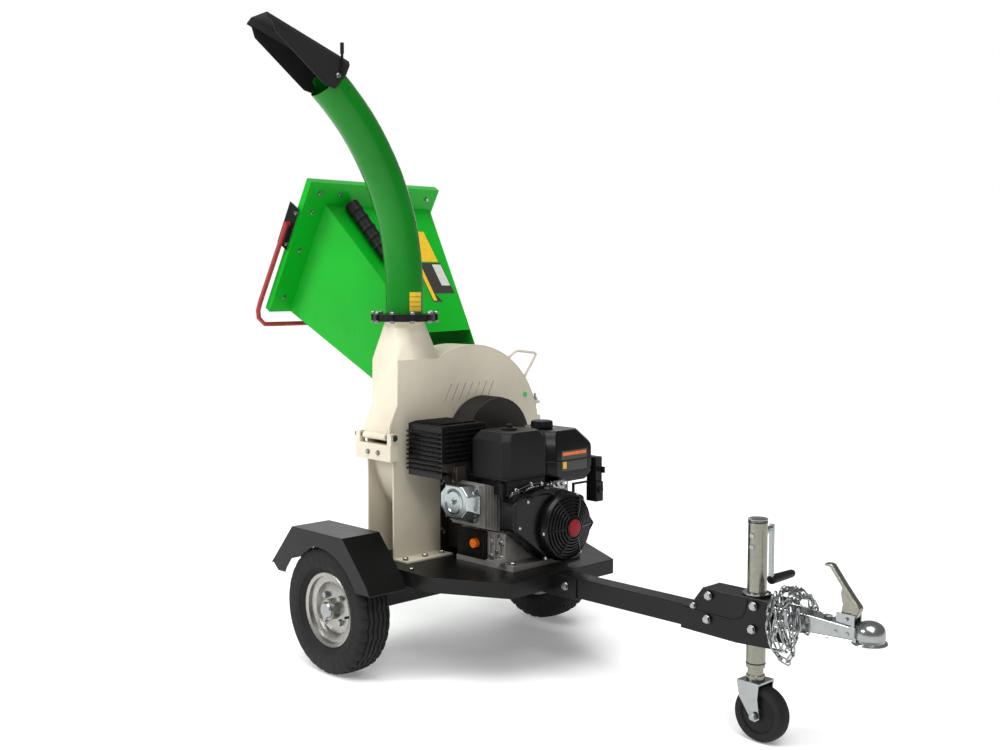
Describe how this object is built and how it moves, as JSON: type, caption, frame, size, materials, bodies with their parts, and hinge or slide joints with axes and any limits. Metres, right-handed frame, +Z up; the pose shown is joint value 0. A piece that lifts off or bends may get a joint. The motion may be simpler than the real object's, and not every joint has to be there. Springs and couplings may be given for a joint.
{
  "type": "wood chipper",
  "caption": "Towable disc wood chipper with petrol engine, tilted infeed hopper, swivelling discharge chute, hinged hood, jockey-wheel jack and ball coupler.",
  "frame": {"origin": "middle of the whole machine's bounding box, on the ground under the tyres", "axes": "+X forward to the tow coupling, +Y to the machine's left, +Z up; rest pose is closed hood, jack fully up, chute pointing right"},
  "size_m": [2.29, 1.2085, 1.9759],
  "materials": {
    "green_paint": "gloss",
    "beige_paint": "satin",
    "black_paint": "satin",
    "red_paint": "gloss",
    "silver_paint": "satin",
    "zinc": "galvanised",
    "steel": "machined",
    "cast_alloy": "cast",
    "black_plastic": "matt",
    "green_plastic": "gloss",
    "orange_plastic": "satin",
    "tyre": "matt",
    "rubber": "matt"
  },
  "bodies": {
    "chassis": {"axle_frame": "black_paint", "deck_tray": "black_paint", "drawbar": "black_paint", "drawbar_socket": "black_paint", "fender_right": "black_paint", "fender_left": "black_paint", "hitch_bracket": "black_paint", "coupler": "zinc", "safety_chains": "zinc", "jack_outer_tube": "zinc", "lower_housing": "beige_paint", "hinge_bracket": "beige_paint", "hinge_pin": "zinc", "anvil": "steel", "bearing_front": "steel", "bearing_rear": "steel", "drive_belt": "rubber", "belt_guard": "black_paint", "hopper": "green_paint", "infeed_curtain": "rubber", "document_tube": "black_plastic", "engine_block": "cast_alloy", "valve_cover": "zinc", "blower_housing": "black_paint", "recoil_cover": "black_paint", "carburettor": "cast_alloy", "starter_motor": "black_paint", "muffler_shield": "black_paint", "muffler": "steel", "air_cleaner": "black_plastic", "fuel_tank": "black_paint", "control_box": "black_plastic"},
    "wheel_right": {"rim_right": "silver_paint", "tyre_right": "tyre"},
    "wheel_left": {"rim_left": "silver_paint", "tyre_left": "tyre"},
    "jack_leg": {"jack_inner_tube": "zinc"},
    "caster": {"caster_fork": "zinc"},
    "jockey": {"jockey_wheel": "rubber"},
    "crank": {"jack_crank": "zinc"},
    "grip": {"crank_grip": "black_plastic"},
    "latch": {"coupler_latch": "zinc"},
    "hood": {"upper_housing": "beige_paint", "collar_ring": "black_paint", "housing_handle": "beige_paint", "inspection_plug": "green_plastic"},
    "chute_body": {"chute": "green_paint"},
    "deflector_body": {"deflector": "black_paint"},
    "deflector_clamp": {"deflector_lever": "black_plastic"},
    "hood_clamp": {"clamp_bolt": "zinc"},
    "rotor": {"flywheel": "steel", "knife_1": "steel", "knife_2": "steel", "rotor_shaft": "steel", "rotor_pulley": "steel"},
    "engine_shaft": {"crankshaft": "steel", "engine_pulley": "steel"},
    "bar": {"safety_bar": "red_paint"},
    "cap": {"fuel_cap": "black_plastic"},
    "dipstick": {"oil_dipstick": "orange_plastic"}
  },
  "joints": [
    {"name": "wheel_right_spin", "type": "hinge", "parent": "chassis", "child": "wheel_right", "pos_m": [-0.441, -0.368, 0.2], "axis": [0, 1, 0], "continuous": true},
    {"name": "wheel_left_spin", "type": "hinge", "parent": "chassis", "child": "wheel_left", "pos_m": [-0.441, 0.54, 0.2], "axis": [0, 1, 0], "continuous": true},
    {"name": "jack_crank_turn", "type": "hinge", "parent": "chassis", "child": "crank", "pos_m": [0.778, 0.086, 0.556], "axis": [0, 1, 0], "range_deg": [0, 14400]},
    {"name": "jack_slide", "type": "slide", "parent": "chassis", "child": "jack_leg", "axis": [0, 0, -1], "range_m": [0, 0.2]},
    {"name": "grip_spin", "type": "hinge", "parent": "crank", "child": "grip", "pos_m": [0.778, 0.2, 0.416], "axis": [0, 1, 0], "continuous": true},
    {"name": "caster_swivel", "type": "hinge", "parent": "jack_leg", "child": "caster", "pos_m": [0.778, 0.086, 0.16], "axis": [0, 0, 1], "continuous": true},
    {"name": "jockey_spin", "type": "hinge", "parent": "caster", "child": "jockey", "pos_m": [0.8, 0.086, 0.075], "axis": [0, 1, 0], "continuous": true},
    {"name": "coupler_latch_turn", "type": "hinge", "parent": "chassis", "child": "latch", "pos_m": [1.049, 0.086, 0.38], "axis": [0, 1, 0], "range_deg": [-30, 18]},
    {"name": "hood_open", "type": "hinge", "parent": "chassis", "child": "hood", "pos_m": [-0.441, -0.217, 0.722], "axis": [1, 0, 0], "range_deg": [0, 90]},
    {"name": "chute_rotate", "type": "hinge", "parent": "hood", "child": "chute_body", "pos_m": [-0.441, -0.095, 1.09], "axis": [0, 0, 1], "continuous": true},
    {"name": "deflector_tilt", "type": "hinge", "parent": "chute_body", "child": "deflector_body", "pos_m": [-0.4721, -0.3682, 1.815], "axis": [0.9936, -0.1132, 0], "range_deg": [-10, 60]},
    {"name": "deflector_lever_turn", "type": "hinge", "parent": "deflector_body", "child": "deflector_clamp", "pos_m": [-0.4707, -0.3553, 1.832], "axis": [0.9936, -0.1132, 0], "range_deg": [-45, 45]},
    {"name": "clamp_swing", "type": "hinge", "parent": "chassis", "child": "hood_clamp", "pos_m": [-0.401, 0.462, 0.727], "axis": [1, 0, 0], "range_deg": [-100, 0]},
    {"name": "rotor_spin", "type": "hinge", "parent": "chassis", "child": "rotor", "pos_m": [-0.441, 0.136, 0.681], "axis": [1, 0, 0], "continuous": true},
    {"name": "engine_spin", "type": "hinge", "parent": "chassis", "child": "engine_shaft", "pos_m": [-0.3, 0.146, 0.452], "axis": [1, 0, 0], "continuous": true},
    {"name": "safety_bar_swing", "type": "hinge", "parent": "chassis", "child": "bar", "pos_m": [-0.953, 0.116, 1.404], "axis": [0, 1, 0], "range_deg": [0, 18]},
    {"name": "fuel_cap_turn", "type": "hinge", "parent": "chassis", "child": "cap", "pos_m": [-0.129, 0.214, 0.75], "axis": [0, 0, 1], "range_deg": [0, 90]},
    {"name": "dipstick_turn", "type": "hinge", "parent": "chassis", "child": "dipstick", "pos_m": [-0.161, -0.044, 0.398], "axis": [0, 1, 0], "range_deg": [0, 360]}
  ],
  "couplings": [
    {"joint": "jack_slide", "follows": "jack_crank_turn", "m_per_rad": 0.00079577},
    {"joint": "engine_spin", "follows": "rotor_spin", "ratio": 1.4035}
  ]
}
